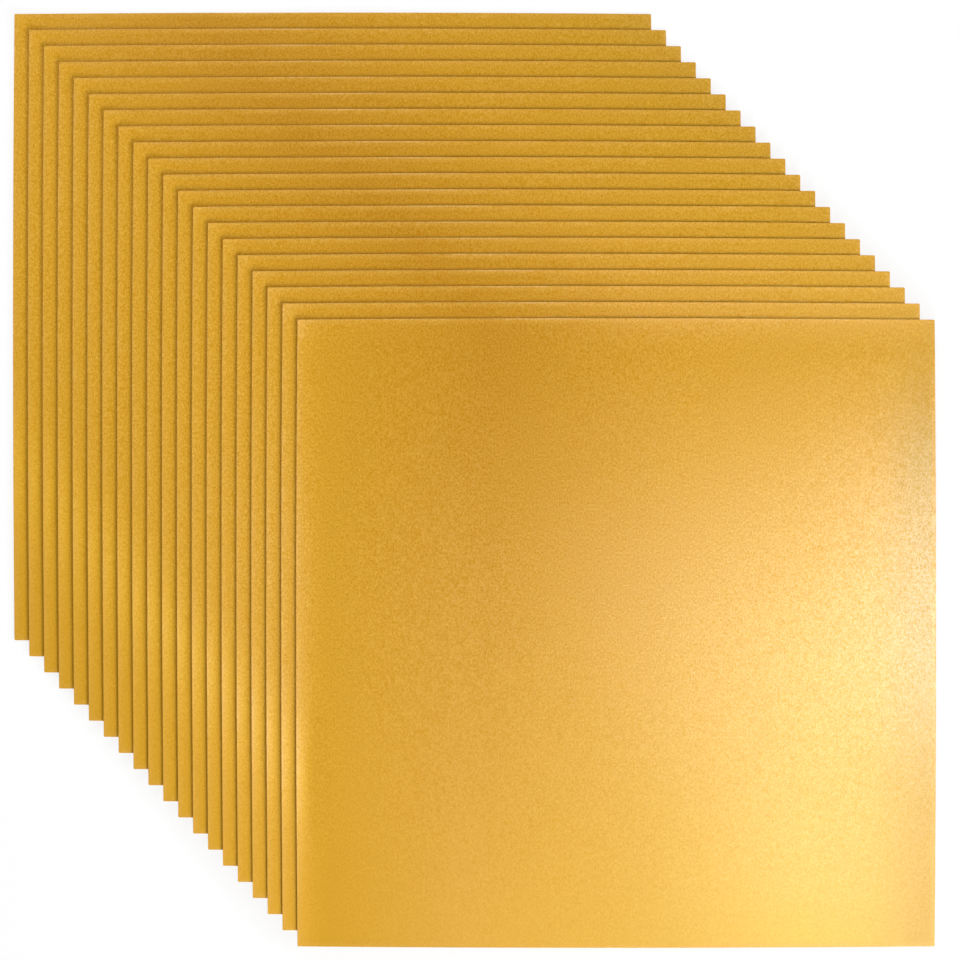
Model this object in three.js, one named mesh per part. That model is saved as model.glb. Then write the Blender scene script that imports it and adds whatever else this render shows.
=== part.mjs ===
import * as THREE from 'three';

// Fanned pack of gold coloured craft metal sheets, lying loose on one another.
// Millimetres, +Z up. X runs along a sheet's width and Y along its length. The pack
// rests on Z = 0, and the middle of the whole fan stands over the origin.

// One sheet, measured from corner to corner
const sheetCount = 20;
const sheetWidth = 305;
const sheetLength = 300;
const sheetThickness = 0.3;

// Guillotined outline: the blade leaves each side bowed out at its middle
const sideBow = 0.7;
const cornerRadius = 0.6;

// Sheared edge: the blade draws the face down before the metal parts
const edgeRollDepth = 0.08;
const edgeRollWidth = 0.1;

// Fan: how far each sheet lies from the one below it, towards the lower right corner
const fanStepX = 7.14;
const fanStepY = 7.71;
const airGap = 0.3;

// Facets on each bowed side and round corner, and across each rolled edge
const outlineSteps = 4;
const edgeRollSteps = 2;

// Gold lacquer over bright aluminium
const goldLacquer = new THREE.MeshStandardMaterial({
  color: '#d9a03c',
  roughness: 0.45,
  metalness: 1,
});

// Plan of one sheet about its own middle. A quadratic curve passes halfway between its
// chord and its control point, so the control point stands at twice the bow.
function sheetOutline() {
  const right = sheetWidth / 2;
  const back = sheetLength / 2;
  const bowControl = 2 * sideBow;
  const outline = new THREE.Shape();
  outline.moveTo(-right + cornerRadius, -back);
  outline.quadraticCurveTo(0, -back - bowControl, right - cornerRadius, -back);
  outline.quadraticCurveTo(right, -back, right, -back + cornerRadius);
  outline.quadraticCurveTo(right + bowControl, 0, right, back - cornerRadius);
  outline.quadraticCurveTo(right, back, right - cornerRadius, back);
  outline.quadraticCurveTo(0, back + bowControl, -right + cornerRadius, back);
  outline.quadraticCurveTo(-right, back, -right, back - cornerRadius);
  outline.quadraticCurveTo(-right - bowControl, 0, -right, -back + cornerRadius);
  outline.quadraticCurveTo(-right, -back, -right + cornerRadius, -back);
  return outline;
}

// One sheet with its underside on Z = 0. The roll is cut back into the outline, so the
// sheet keeps its full width halfway up its edge.
function sheetGeometry() {
  const geometry = new THREE.ExtrudeGeometry(sheetOutline(), {
    depth: sheetThickness - 2 * edgeRollDepth,
    curveSegments: outlineSteps,
    bevelEnabled: true,
    bevelThickness: edgeRollDepth,
    bevelSize: edgeRollWidth,
    bevelOffset: -edgeRollWidth,
    bevelSegments: edgeRollSteps,
  });
  geometry.translate(0, 0, edgeRollDepth);
  return geometry;
}

// Each sheet carries the next one, a step along the fan and a thickness and air gap higher
function fannedPack() {
  const pack = new THREE.Group();
  const sheetShape = sheetGeometry();
  const stepsInFan = sheetCount - 1;
  let carrier = pack;
  for (let number = 1; number <= sheetCount; number += 1) {
    const sheet = new THREE.Mesh(sheetShape, goldLacquer);
    sheet.name = `sheet_${String(number).padStart(2, '0')}`;
    const seat = new THREE.Group();
    if (number === 1) {
      seat.position.set(-stepsInFan * fanStepX / 2, stepsInFan * fanStepY / 2, 0);
    } else {
      seat.position.set(fanStepX, -fanStepY, sheetThickness + airGap);
    }
    seat.add(sheet);
    carrier.add(seat);
    carrier = seat;
  }
  return pack;
}

export default fannedPack();
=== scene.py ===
import math

import bmesh
import bpy
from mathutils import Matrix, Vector


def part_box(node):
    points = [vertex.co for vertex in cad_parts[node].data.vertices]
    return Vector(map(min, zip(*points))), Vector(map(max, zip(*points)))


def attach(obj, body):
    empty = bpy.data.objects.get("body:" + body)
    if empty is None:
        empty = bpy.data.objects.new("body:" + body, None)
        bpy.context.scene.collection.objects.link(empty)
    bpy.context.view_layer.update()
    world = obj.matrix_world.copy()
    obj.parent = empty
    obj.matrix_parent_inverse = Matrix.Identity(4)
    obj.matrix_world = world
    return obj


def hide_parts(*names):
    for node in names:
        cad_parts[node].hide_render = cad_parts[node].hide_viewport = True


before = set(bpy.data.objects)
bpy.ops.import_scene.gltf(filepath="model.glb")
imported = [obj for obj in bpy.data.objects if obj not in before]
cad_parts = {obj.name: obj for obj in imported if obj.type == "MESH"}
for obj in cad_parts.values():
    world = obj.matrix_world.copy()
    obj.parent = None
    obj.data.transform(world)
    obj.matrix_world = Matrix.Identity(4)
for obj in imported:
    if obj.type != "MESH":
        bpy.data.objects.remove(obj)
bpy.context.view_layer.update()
print("frame loaded:", len(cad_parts), "sheets")

scene = bpy.context.scene
scene.view_settings.view_transform = "Standard"
mm = 0.001


# sRGB hex to the linear colour that the sockets take
def linear(hexColour):
    channels = [int(hexColour[i:i + 2], 16) / 255 for i in (1, 3, 5)]
    return [c / 12.92 if c <= 0.04045 else ((c + 0.055) / 1.055) ** 2.4 for c in channels] + [1.0]


# adds one node: settings go to sockets (by name or number), to a ramp's stops or to properties,
# and links are given as socket: (source node, its socket)
def addNode(tree, kind, settings=None, links=None):
    node = tree.nodes.new(kind)
    for name, value in (settings or {}).items():
        if name == "stops":
            ramp = node.color_ramp.elements
            while len(ramp) < len(value):
                ramp.new(0.5)
            for stop, (position, colour) in zip(ramp, value):
                stop.position = position
                stop.color = linear(colour)
        elif isinstance(name, int) or name in node.inputs:
            node.inputs[name].default_value = value
        else:
            setattr(node, name, value)
    for name, (source, socket) in (links or {}).items():
        tree.links.new(source.outputs[socket], node.inputs[name])
    return node


# the Mix node's float and colour sockets share their names, so they are picked by number
factor, floatA, floatB, colourA, colourB = 0, 2, 3, 6, 7
mixedFloat, mixedColour = 0, 2


def newMaterial(name):
    material = bpy.data.materials.new(name)
    material.use_nodes = True
    material.node_tree.nodes.clear()
    return material, material.node_tree


# camera: straight above, long lens, the photograph's frame at the sheets
cameraRig = {
    "distance": 12.0,
    "farClip": 50.0,
    "frameWidth": 459.9 * mm,
    "sideShift": 2.7 * mm,
    "sensor": 36.0,
}
cameraData = bpy.data.cameras.new("overheadCamera")
cameraData.sensor_width = cameraRig["sensor"]
cameraData.lens = cameraRig["sensor"] * cameraRig["distance"] / cameraRig["frameWidth"]
cameraData.clip_end = cameraRig["farClip"]
camera = bpy.data.objects.new("overheadCamera", cameraData)
camera.location = (cameraRig["sideShift"], 0, cameraRig["distance"])
scene.collection.objects.link(camera)
scene.camera = camera


# gold lacquer on stippled rolled aluminium: the tinted metal glows evenly, pits that hold more
# lacquer read darker, and the clear top coat breaks a white gloss into fine sparkle on the stipple
# the lacquer colour below carries painted shade, a painted sheen, painted highlights, a painted
# reflection and a painted glint
goldFinish = {
    # lacquer colour from the left edge to the right, along the back edge and along the front edge;
    # the dark stop a third of the way across the back is painted shade, the paler front stops a painted
    # sheen and highlight
    "backLacquerWithPaintedShade": [(0.0, "#E5B945"), (0.3, "#D5A53A"), (0.6, "#DFB345"), (1.0, "#E0B747")],
    "frontLacquerWithPaintedSheen": [(0.0, "#E4B93C"), (0.25, "#E8BF60"), (0.55, "#E3BF54"), (0.8, "#E6C858"),
                     (1.0, "#E2C157")],
    # the same from front to back: down the left margin, with a painted highlight band at the swell,
    # and down the right margin, with a painted silvery reflection
    "leftLacquerWithPaintedHighlight": [(0.12, "#E7BC49"), (0.28, "#EFC84D"), (0.42, "#E6BB49")],
    "leftHighlightMargin": 9 * mm,
    "rightLacquerWithPaintedReflection": [(0.15, "#D8B655"), (0.5, "#D0B35F"), (0.8, "#D1B25D"), (1.0, "#E0B74D")],
    "rightReflectionMargin": 36 * mm,
    "pitShade": "#E2CF4F",
    "pitRange": (0.3, 0.7),      # stipple heights from full pit shade to none
    "wornGoldAndRimHighlight": "#E7BE64",       # along the cut: lacquer rubbed thin, and a painted rim highlight
    "wearReach": 3.0 * mm,
    "wearPatch": 22 * mm,
    "wearDetail": 2.0,
    "wearRange": (0.25, 0.65),
    "wearLeast": 0.35,
    "paintedGlintGold": "#EFD09C",       # painted glint along part of the back cut
    "paintedGlintWidth": 0.7 * mm,
    "paintedGlintPlace": [(0.3, "#000000"), (0.37, "#FFFFFF"), (0.42, "#FFFFFF"), (0.48, "#000000")],
    "sheetSide": 302 * mm,       # mean side of a sheet, turns the widths above into shares of it
    "roughness": 0.7,
    "coatThin": 0.35,            # gloss left in the pits, full gloss on the tops
    "glossRange": (0.35, 0.65),  # stipple heights from thin gloss to full
    "coatIor": 1.8,
    "coatRoughness": 0.18,
    "stipple": 0.75 * mm,        # the real stipple is about half this, too fine for the render
    "stippleDetail": 2.0,
    "stippleRoughness": 0.7,
    "stippleMean": 0.5,
    "stippleDepth": 0.03 * mm,
    "coatDepth": 0.12 * mm,
    "frontCalm": 0.35,           # the grain is pressed flatter towards the front edge
    "calmTo": 0.6,
    "rolling": 0.72,             # the grain is drawn out along the length by the mill
}


def makeGoldLacquer():
    material, tree = newMaterial("goldLacquerOnStippledAluminium")
    side = goldFinish["sheetSide"]
    place = addNode(tree, "ShaderNodeTexCoord")
    across = addNode(tree, "ShaderNodeSeparateXYZ", {}, {"Vector": (place, "UV")})
    rolled = addNode(tree, "ShaderNodeMapping", {"Scale": (1, goldFinish["rolling"], 1)},
                     {"Vector": (place, "Object")})
    stipple = addNode(tree, "ShaderNodeTexNoise",
                      {"Scale": 1 / goldFinish["stipple"], "Detail": goldFinish["stippleDetail"],
                       "Roughness": goldFinish["stippleRoughness"]},
                      {"Vector": (rolled, "Vector")})
    relief = addNode(tree, "ShaderNodeMapRange",
                     {"From Min": 0.0, "From Max": goldFinish["calmTo"],
                      "To Min": goldFinish["frontCalm"], "To Max": 1.0},
                     {"Value": (across, "Y")})
    grain = addNode(tree, "ShaderNodeMix", {floatA: goldFinish["stippleMean"]},
                    {factor: (relief, "Result"), floatB: (stipple, "Fac")})
    # the lacquer is darkest a third of the way across at the back, which is painted shade; the paler
    # front is a painted sheen and highlight, the bright band down the left margin a painted highlight
    # and the greyer right margin a painted silvery reflection
    backLacquerWithPaintedShade = addNode(tree, "ShaderNodeValToRGB", {"stops": goldFinish["backLacquerWithPaintedShade"]},
                          {"Fac": (across, "X")})
    frontLacquerWithPaintedSheen = addNode(tree, "ShaderNodeValToRGB", {"stops": goldFinish["frontLacquerWithPaintedSheen"]},
                           {"Fac": (across, "X")})
    faceLacquerWithPaintedLight = addNode(tree, "ShaderNodeMix", {"data_type": "RGBA"},
                          {factor: (across, "Y"), colourA: (frontLacquerWithPaintedSheen, "Color"),
                           colourB: (backLacquerWithPaintedShade, "Color")})
    # a painted highlight: a bright band of lacquer down the left margin
    leftLacquerWithPaintedHighlight = addNode(tree, "ShaderNodeValToRGB", {"stops": goldFinish["leftLacquerWithPaintedHighlight"]},
                          {"Fac": (across, "Y")})
    leftHighlightMargin = addNode(tree, "ShaderNodeMapRange",
                         {"interpolation_type": "SMOOTHSTEP", "From Min": 0.0,
                          "From Max": goldFinish["leftHighlightMargin"] / side, "To Min": 1.0, "To Max": 0.0},
                         {"Value": (across, "X")})
    withLeftHighlight = addNode(tree, "ShaderNodeMix", {"data_type": "RGBA"},
                       {factor: (leftHighlightMargin, "Result"), colourA: (faceLacquerWithPaintedLight, mixedColour),
                        colourB: (leftLacquerWithPaintedHighlight, "Color")})
    # a painted silvery reflection: paler, greyer lacquer down the right margin
    rightLacquerWithPaintedReflection = addNode(tree, "ShaderNodeValToRGB", {"stops": goldFinish["rightLacquerWithPaintedReflection"]},
                           {"Fac": (across, "Y")})
    rightReflectionMargin = addNode(tree, "ShaderNodeMapRange",
                          {"interpolation_type": "SMOOTHSTEP",
                           "From Min": 1 - goldFinish["rightReflectionMargin"] / side, "From Max": 1.0,
                           "To Min": 0.0, "To Max": 1.0},
                          {"Value": (across, "X")})
    withRightReflection = addNode(tree, "ShaderNodeMix", {"data_type": "RGBA"},
                        {factor: (rightReflectionMargin, "Result"), colourA: (withLeftHighlight, mixedColour),
                         colourB: (rightLacquerWithPaintedReflection, "Color")})
    # paler, rubbed lacquer along the four cuts, in uneven patches, which is also a painted rim highlight
    fromSide = addNode(tree, "ShaderNodeMath", {"operation": "PINGPONG", 1: 0.5}, {0: (across, "X")})
    fromEnd = addNode(tree, "ShaderNodeMath", {"operation": "PINGPONG", 1: 0.5}, {0: (across, "Y")})
    fromCut = addNode(tree, "ShaderNodeMath", {"operation": "MINIMUM"},
                      {0: (fromSide, "Value"), 1: (fromEnd, "Value")})
    nearCut = addNode(tree, "ShaderNodeMapRange",
                      {"From Min": 0.0, "From Max": goldFinish["wearReach"] / side,
                       "To Min": 1.0, "To Max": 0.0},
                      {"Value": (fromCut, "Value")})
    patches = addNode(tree, "ShaderNodeTexNoise",
                      {"Scale": 1 / goldFinish["wearPatch"], "Detail": goldFinish["wearDetail"]},
                      {"Vector": (place, "Object")})
    patchy = addNode(tree, "ShaderNodeMapRange",
                     {"From Min": goldFinish["wearRange"][0], "From Max": goldFinish["wearRange"][1],
                      "To Min": goldFinish["wearLeast"], "To Max": 1.0},
                     {"Value": (patches, "Fac")})
    wearAndRimHighlight = addNode(tree, "ShaderNodeMath", {"operation": "MULTIPLY"},
                   {0: (nearCut, "Result"), 1: (patchy, "Result")})
    rubbedAndRimHighlit = addNode(tree, "ShaderNodeMix",
                     {"data_type": "RGBA", colourB: linear(goldFinish["wornGoldAndRimHighlight"])},
                     {factor: (wearAndRimHighlight, "Value"), colourA: (withRightReflection, mixedColour)})
    # a painted glint: a thin pale line along part of the back cut
    paintedGlintPlace = addNode(tree, "ShaderNodeValToRGB", {"stops": goldFinish["paintedGlintPlace"]},
                        {"Fac": (across, "X")})
    backCut = addNode(tree, "ShaderNodeMapRange",
                      {"From Min": 1 - goldFinish["paintedGlintWidth"] / side, "From Max": 1.0,
                       "To Min": 0.0, "To Max": 1.0},
                      {"Value": (across, "Y")})
    paintedGlint = addNode(tree, "ShaderNodeMath", {"operation": "MULTIPLY"},
                   {0: (backCut, "Result"), 1: (paintedGlintPlace, "Color")})
    withPaintedGlint = addNode(tree, "ShaderNodeMix",
                     {"data_type": "RGBA", colourB: linear(goldFinish["paintedGlintGold"])},
                     {factor: (paintedGlint, "Value"), colourA: (rubbedAndRimHighlit, mixedColour)})
    # deeper gold in the pits of the stipple, where the gloss is thin too
    pitFrom, pitTo = goldFinish["pitRange"]
    pits = addNode(tree, "ShaderNodeValToRGB",
                   {"stops": [(pitFrom, goldFinish["pitShade"]), (pitTo, "#FFFFFF")]},
                   {"Fac": (grain, mixedFloat)})
    gold = addNode(tree, "ShaderNodeMix", {"data_type": "RGBA", "blend_type": "MULTIPLY", factor: 1.0},
                   {colourA: (withPaintedGlint, mixedColour), colourB: (pits, "Color")})
    gloss = addNode(tree, "ShaderNodeMapRange",
                    {"From Min": goldFinish["glossRange"][0], "From Max": goldFinish["glossRange"][1],
                     "To Min": goldFinish["coatThin"], "To Max": 1.0},
                    {"Value": (grain, mixedFloat)})
    metalBump = addNode(tree, "ShaderNodeBump", {"Strength": 1.0, "Distance": goldFinish["stippleDepth"]},
                        {"Height": (grain, mixedFloat)})
    coatBump = addNode(tree, "ShaderNodeBump", {"Strength": 1.0, "Distance": goldFinish["coatDepth"]},
                       {"Height": (grain, mixedFloat)})
    shader = addNode(tree, "ShaderNodeBsdfPrincipled",
                     {"Metallic": 1.0, "Roughness": goldFinish["roughness"],
                      "Coat IOR": goldFinish["coatIor"], "Coat Roughness": goldFinish["coatRoughness"]},
                     {"Base Color": (gold, mixedColour), "Normal": (metalBump, "Normal"),
                      "Coat Weight": (gloss, "Result"), "Coat Normal": (coatBump, "Normal")})
    addNode(tree, "ShaderNodeOutputMaterial", {}, {"Surface": (shader, "BSDF")})
    return material


# sheared edge of the same sheet: the blade wipes the lacquer thin, so the rim is a paler,
# brighter gold with fine upright drag marks
edgeFinish = {
    "gold": "#F0C56A",
    "bare": "#F3DDA4",
    "roughness": 0.38,
    "drag": 0.8 * mm,            # real drag marks are about 0.1 mm apart, drawn coarser to show
    "dragDetail": 1.0,
    "dragStretch": 0.1,          # upright scale of the marks, low draws them out
}


def makeShearedEdge():
    material, tree = newMaterial("shearedGoldAluminium")
    place = addNode(tree, "ShaderNodeTexCoord")
    upright = addNode(tree, "ShaderNodeMapping", {"Scale": (1, 1, edgeFinish["dragStretch"])},
                      {"Vector": (place, "Object")})
    drag = addNode(tree, "ShaderNodeTexNoise",
                   {"Scale": 1 / edgeFinish["drag"], "Detail": edgeFinish["dragDetail"]},
                   {"Vector": (upright, "Vector")})
    gold = addNode(tree, "ShaderNodeMix",
                   {"data_type": "RGBA", colourA: linear(edgeFinish["gold"]),
                    colourB: linear(edgeFinish["bare"])},
                   {factor: (drag, "Fac")})
    shader = addNode(tree, "ShaderNodeBsdfPrincipled",
                     {"Metallic": 1.0, "Roughness": edgeFinish["roughness"]},
                     {"Base Color": (gold, mixedColour)})
    addNode(tree, "ShaderNodeOutputMaterial", {}, {"Surface": (shader, "BSDF")})
    return material


goldLacquer = makeGoldLacquer()
shearedEdge = makeShearedEdge()
print("materials made")

# sheets: the places and widths of swell, dip and crest are shares of the side, angles are in degrees
sheetForm = {
    "cells": 72,
    "edgeCrowd": 0.82,           # how far the cells crowd towards the edges, where the curl is
    "sideBow": 0.7 * mm,
    "cornerRound": 0.6 * mm,
    "cornerSteps": 3,
    "edgeRoll": 0.09 * mm,
    "rollSteps": 2,
    "rimAngle": 45,              # an edge sharper than this is rolled
    "smoothAngle": 15,           # an edge flatter than this is shaded smooth
    "rimSlope": 0.5,             # a face whose normal rises less than this is sheared edge
    "leftCurl": 0.5 * mm,
    "leftReach": 62 * mm,
    "curlSwell": 0.8,
    "swellPlace": 0.72,
    "swellWidth": 0.13,
    "leftLip": 1.12 * mm,
    "leftLipReach": 14 * mm,
    "leftLipFade": 0.42,
    "lipTighten": 0.45,
    "backLip": 0.8 * mm,
    "backLipReach": 14 * mm,
    "backLipFade": 0.65,
    "backLipDip": 0.55,
    "dipPlace": 0.31,
    "dipWidth": 0.14,
    "backFadeFrom": 0.3,
    "crestRise": 0.65 * mm,
    "crestPlace": 0.48,
    "crestFrom": 0.2,
    "crestFall": 1.5,            # power of the crest's fall towards the front
}


# height of a sheet's face above flat, by distances from its left and back edges as shares of the side
def lift(across, down, width, length):
    swell = math.exp(-((down - sheetForm["swellPlace"]) / sheetForm["swellWidth"]) ** 2)
    left = max(0.0, 1 - across * width / sheetForm["leftReach"]) ** 2
    left *= sheetForm["leftCurl"] * (1 + sheetForm["curlSwell"] * swell)
    lipReach = sheetForm["leftLipReach"] * (1 - sheetForm["lipTighten"] * swell)
    leftLip = max(0.0, 1 - across * width / lipReach) ** 2
    leftLip *= sheetForm["leftLip"] * (1 - sheetForm["leftLipFade"] * down)
    fade = max(0.0, across - sheetForm["backFadeFrom"]) / (1 - sheetForm["backFadeFrom"])
    dip = math.exp(-((across - sheetForm["dipPlace"]) / sheetForm["dipWidth"]) ** 2)
    backLip = max(0.0, 1 - down * length / sheetForm["backLipReach"]) ** 2
    backLip *= sheetForm["backLip"] * (1 - sheetForm["backLipFade"] * fade)
    backLip *= 1 - sheetForm["backLipDip"] * dip
    crestPlace = sheetForm["crestPlace"]
    crestFrom = sheetForm["crestFrom"]
    if across < crestPlace:
        climb = min(1.0, max(0.0, (across - crestFrom) / (crestPlace - crestFrom)))
    else:
        climb = (1 - across) / (1 - crestPlace)
    crest = climb * climb * (3 - 2 * climb) * max(0.0, 1 - down) ** sheetForm["crestFall"]
    return left + leftLip + backLip + sheetForm["crestRise"] * crest


def makeSheet(nodeName):
    low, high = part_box(nodeName)
    middle = (low + high) / 2
    bow = sheetForm["sideBow"]
    width = high.x - low.x - 2 * bow
    length = high.y - low.y - 2 * bow
    thickness = high.z - low.z
    # a grid one metre wide, crowded towards its edges, then brought to size
    bm = bmesh.new()
    bmesh.ops.create_grid(bm, x_segments=sheetForm["cells"], y_segments=sheetForm["cells"], size=0.5)
    for vert in bm.verts:
        for axis in (0, 1):
            turn = 2 * math.pi * (vert.co[axis] + 0.5)
            vert.co[axis] -= sheetForm["edgeCrowd"] * math.sin(turn) / (2 * math.pi)
    bmesh.ops.scale(bm, vec=(width, length, 1), verts=bm.verts)
    corners = [v for v in bm.verts if len(v.link_faces) == 1]
    bmesh.ops.bevel(bm, geom=corners, offset=sheetForm["cornerRound"], offset_type="OFFSET",
                    segments=sheetForm["cornerSteps"], profile=0.5, affect="VERTICES", material=-1)
    for vert in bm.verts:
        x = vert.co.x / width * 2
        y = vert.co.y / length * 2
        vert.co.z = lift((1 + x) / 2, (1 - y) / 2, width, length)
        vert.co.x += bow * x * (1 - y * y)
        vert.co.y += bow * y * (1 - x * x)
    bmesh.ops.solidify(bm, geom=bm.faces[:], thickness=thickness)
    bmesh.ops.recalc_face_normals(bm, faces=bm.faces)
    rimAngle = math.radians(sheetForm["rimAngle"])
    rim = [e for e in bm.edges if len(e.link_faces) == 2 and e.calc_face_angle() > rimAngle]
    bmesh.ops.bevel(bm, geom=rim, offset=sheetForm["edgeRoll"], offset_type="OFFSET",
                    segments=sheetForm["rollSteps"], profile=0.5, affect="EDGES", material=-1)
    lowest = min(v.co.z for v in bm.verts)
    bmesh.ops.translate(bm, vec=(middle.x, middle.y, low.z - lowest), verts=bm.verts)
    # the map runs from edge to edge, with the bow of the sides taken out
    sheetUv = bm.loops.layers.uv.new("sheetUv")
    for face in bm.faces:
        face.smooth = True
        face.material_index = 1 if abs(face.normal.z) < sheetForm["rimSlope"] else 0
        for loop in face.loops:
            x = (loop.vert.co.x - middle.x) * 2 / width
            y = (loop.vert.co.y - middle.y) * 2 / length
            u = x / (1 + 2 * bow / width * (1 - y * y))
            v = y / (1 + 2 * bow / length * (1 - x * x))
            loop[sheetUv].uv = (0.5 + u / 2, 0.5 + v / 2)
    for edge in bm.edges:
        if len(edge.link_faces) == 2:
            edge.smooth = edge.calc_face_angle() < math.radians(sheetForm["smoothAngle"])
    mesh = bpy.data.meshes.new(nodeName.replace("sheet", "foil"))
    bm.to_mesh(mesh)
    bm.free()
    mesh.materials.append(goldLacquer)
    mesh.materials.append(shearedEdge)
    piece = bpy.data.objects.new(mesh.name, mesh)
    scene.collection.objects.link(piece)
    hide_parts(nodeName)
    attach(piece, nodeName)
    return piece


sheets = [makeSheet(name) for name in sorted(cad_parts)]
print("sheets made:", len(sheets), "faces each:", len(sheets[0].data.polygons))

# floor: matt white paper that keeps the pack's shadow; its glow only shows to camera and reflections
floorFinish = {"size": 20.0, "drop": 0.2 * mm, "paper": "#F2F2F2", "glow": 0.85}
bm = bmesh.new()
bmesh.ops.create_grid(bm, x_segments=1, y_segments=1, size=floorFinish["size"])
bmesh.ops.translate(bm, vec=(0, 0, -floorFinish["drop"]), verts=bm.verts)
floorMesh = bpy.data.meshes.new("floor")
bm.to_mesh(floorMesh)
bm.free()
floor = bpy.data.objects.new("floor", floorMesh)
scene.collection.objects.link(floor)
floorPaper, paperTree = newMaterial("whiteFloorPaper")
paper = addNode(paperTree, "ShaderNodeBsdfDiffuse", {"Color": linear(floorFinish["paper"])})
glow = addNode(paperTree, "ShaderNodeEmission", {"Color": linear("#FFFFFF"), "Strength": 1.0})
lit = addNode(paperTree, "ShaderNodeMixShader", {0: floorFinish["glow"]},
              {1: (paper, "BSDF"), 2: (glow, "Emission")})
ray = addNode(paperTree, "ShaderNodeLightPath")
mirrored = addNode(paperTree, "ShaderNodeMath", {"operation": "MAXIMUM"},
                   {0: (ray, "Is Glossy Ray"), 1: (ray, "Is Transmission Ray")})
seen = addNode(paperTree, "ShaderNodeMath", {"operation": "MAXIMUM"},
               {0: (ray, "Is Camera Ray"), 1: (mirrored, "Value")})
shown = addNode(paperTree, "ShaderNodeMixShader", {},
                {0: (seen, "Value"), 1: (paper, "BSDF"), 2: (lit, "Shader")})
addNode(paperTree, "ShaderNodeOutputMaterial", {}, {"Surface": (shown, "Shader")})
floorMesh.materials.append(floorPaper)
print("floor laid")

# room, from the horizon to straight up: the paper's far edge, dim walls, a pale light cove
# and a dark ceiling
roomLight = [(0.03, "#F0F0F0"), (0.05, "#454545"), (0.3, "#454545"), (0.55, "#E7E7E7"), (0.75, "#000000")]
room = bpy.data.worlds.new("studio")
scene.world = room
room.use_nodes = True
room.node_tree.nodes.clear()
direction = addNode(room.node_tree, "ShaderNodeTexCoord")
height = addNode(room.node_tree, "ShaderNodeSeparateXYZ", {}, {"Vector": (direction, "Generated")})
walls = addNode(room.node_tree, "ShaderNodeValToRGB", {"stops": roomLight}, {"Fac": (height, "Z")})
backdrop = addNode(room.node_tree, "ShaderNodeBackground", {"Strength": 1.0}, {"Color": (walls, "Color")})
addNode(room.node_tree, "ShaderNodeOutputWorld", {}, {"Surface": (backdrop, "Background")})

# lamps: the first six shape the glare on the top sheet, the keys and fills light the whole fan
studioLamps = {
    # place, aim, and width and height in metres, power in watts
    "frontSoftbox": ((0.2, -0.4, 0.5), (0.12, -0.24, 0), (0.24, 0.24), 0.92),
    "overheadSoftbox": ((0.19, -0.15, 0.5), (0.19, -0.15, 0), (0.24, 0.24), 0.13),
    "overheadStrip": ((0.19, -0.12, 0.48), (0.19, -0.12, 0), (0.12, 0.2), 0.235),
    "glareStrip": ((0.24, -0.05, 0.3), (0.24, -0.05, 0), (0.04, 0.13), 0.165),
    "glowSoftbox": ((0.15, -0.07, 0.4), (0.15, -0.07, 0), (0.08, 0.1), 0.042),
    "sheenSoftbox": ((0.06, -0.13, 0.44), (0.06, -0.13, 0), (0.2, 0.24), 0.033),
    "rightKey": ((1.1, -0.3, 0.8), (0, 0, 0), (0.5, 0.5), 7.8),
    "frontKey": ((0.3, -1.14, 0.72), (0, 0, 0), (0.5, 0.5), 8),
    "backFill": ((-0.2, 0.5, 0.6), (-0.1, 0.1, 0), (0.5, 0.3), 1.85),
    "leftFill": ((-0.48, 0.2, 0.6), (-0.1, 0.1, 0), (0.3, 0.3), 1.15),
}
for name, (spot, aim, size, power) in studioLamps.items():
    lampData = bpy.data.lights.new(name, "AREA")
    lampData.shape = "RECTANGLE"
    lampData.size, lampData.size_y = size
    lampData.energy = power
    lamp = bpy.data.objects.new(name, lampData)
    lamp.location = spot
    lamp.rotation_euler = (Vector(aim) - Vector(spot)).to_track_quat("-Z", "Y").to_euler()
    lamp.visible_camera = False
    scene.collection.objects.link(lamp)
print("room and lamps set")
